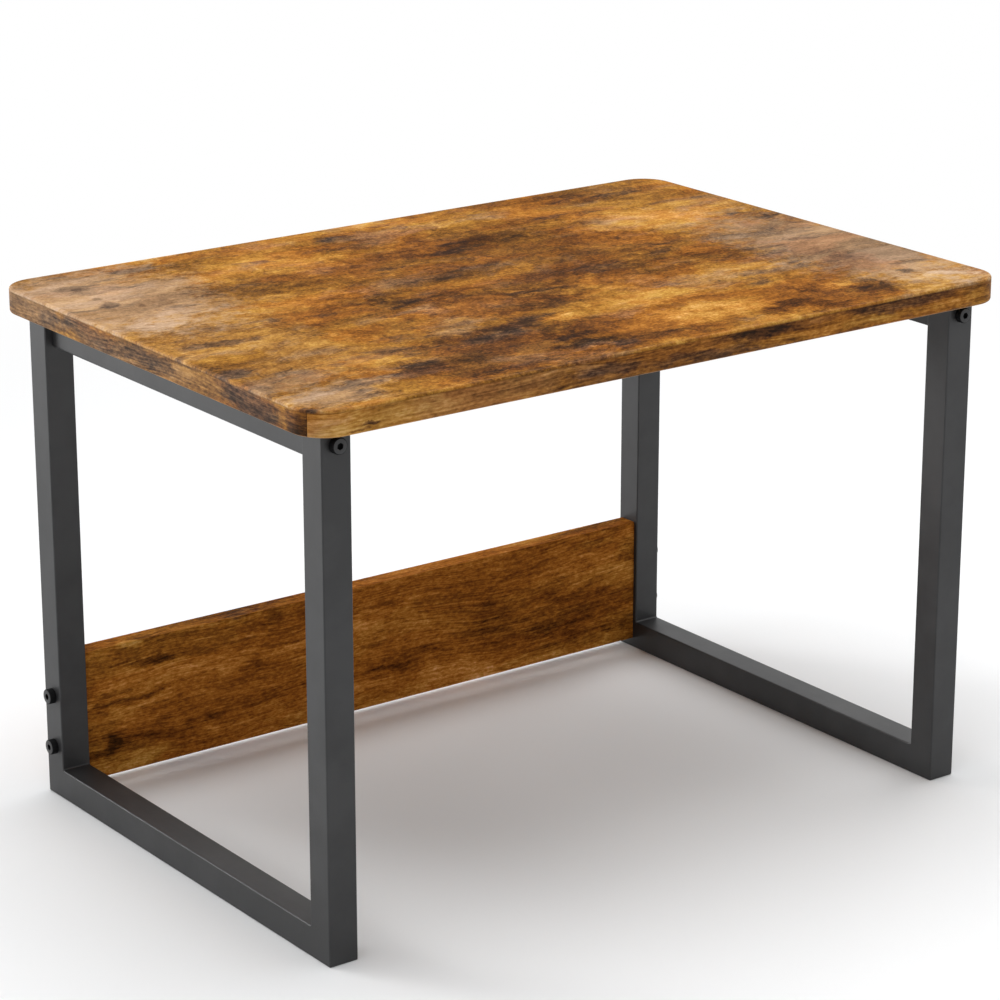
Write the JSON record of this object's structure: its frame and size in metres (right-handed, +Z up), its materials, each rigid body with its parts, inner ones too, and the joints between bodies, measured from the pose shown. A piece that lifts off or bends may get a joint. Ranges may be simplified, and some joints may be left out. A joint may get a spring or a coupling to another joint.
{
  "type": "countertop shelf",
  "caption": "Countertop shelf: a wooden board with rounded corners on two square-tube side frames, open underneath, with a low back board between the rear legs.",
  "frame": {"origin": "on the worktop, under the middle of the board", "axes": "+X to the right along the width, +Y to the rear, +Z up"},
  "size_m": [0.552, 0.38, 0.36],
  "materials": {
    "wood_laminate": "rustic brown wood decor on particle board, satin",
    "edge_band": "rustic brown wood decor on a plastic band, satin",
    "powder_coat": "black powder coat, satin",
    "black_steel": "black oxide, satin",
    "plain_steel": "zinc plated"
  },
  "bodies": {
    "root": {"top_board": "wood_laminate", "top_edge_band": "edge_band", "left_front_leg": "powder_coat", "left_rear_leg": "powder_coat", "right_front_leg": "powder_coat", "right_rear_leg": "powder_coat", "left_bottom_rail": "powder_coat", "right_bottom_rail": "powder_coat", "left_top_rail": "powder_coat", "right_top_rail": "powder_coat", "rail_end_blocks": "plain_steel", "back_board": "wood_laminate", "back_board_edge_bands": "edge_band", "leg_bolts": "black_steel", "back_board_bolts": "black_steel", "barrel_nuts": "plain_steel", "board_screws": "plain_steel"}
  },
  "joints": []
}
